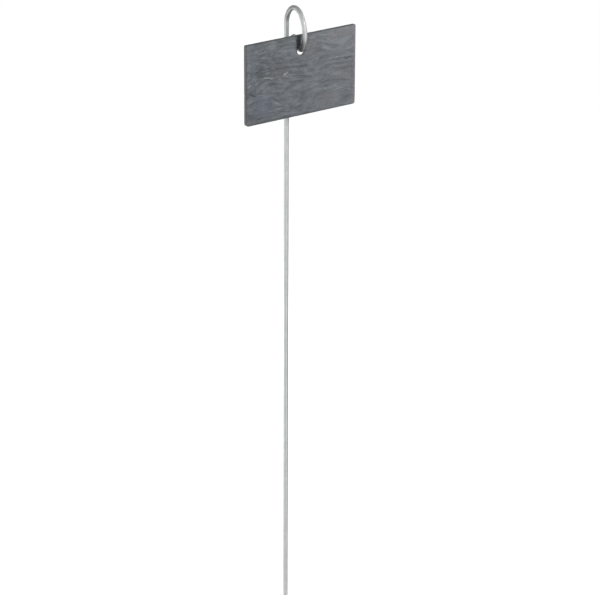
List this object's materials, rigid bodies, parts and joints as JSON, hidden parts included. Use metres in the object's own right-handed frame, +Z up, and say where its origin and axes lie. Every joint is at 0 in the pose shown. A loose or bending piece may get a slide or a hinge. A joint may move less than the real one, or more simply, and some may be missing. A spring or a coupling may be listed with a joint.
{
  "type": "plant label stake",
  "caption": "Slate name tag hanging by a drilled hole from the upturned hook of a tall galvanised wire stake, pushed into soil by its foot.",
  "frame": {"origin": "centre of the flat-cropped foot of the wire shaft, the end that goes into the soil", "axes": "+Z up along the straight shaft, -Y the way the tag faces and the crook reaches, +X to the tag's right as it is read"},
  "size_m": [0.12, 0.0327, 0.6],
  "materials": {
    "galvanised_wire": "satin",
    "slate": "matte"
  },
  "bodies": {
    "wire": {"stake": "galvanised_wire"},
    "tag": {"slate_label": "slate"}
  },
  "joints": [
    {"name": "tag_swing", "type": "hinge", "parent": "wire", "child": "tag", "pos_m": [0, -0.02161, 0.56113], "axis": [0, 1, 0], "range_deg": [-56, 56]}
  ]
}
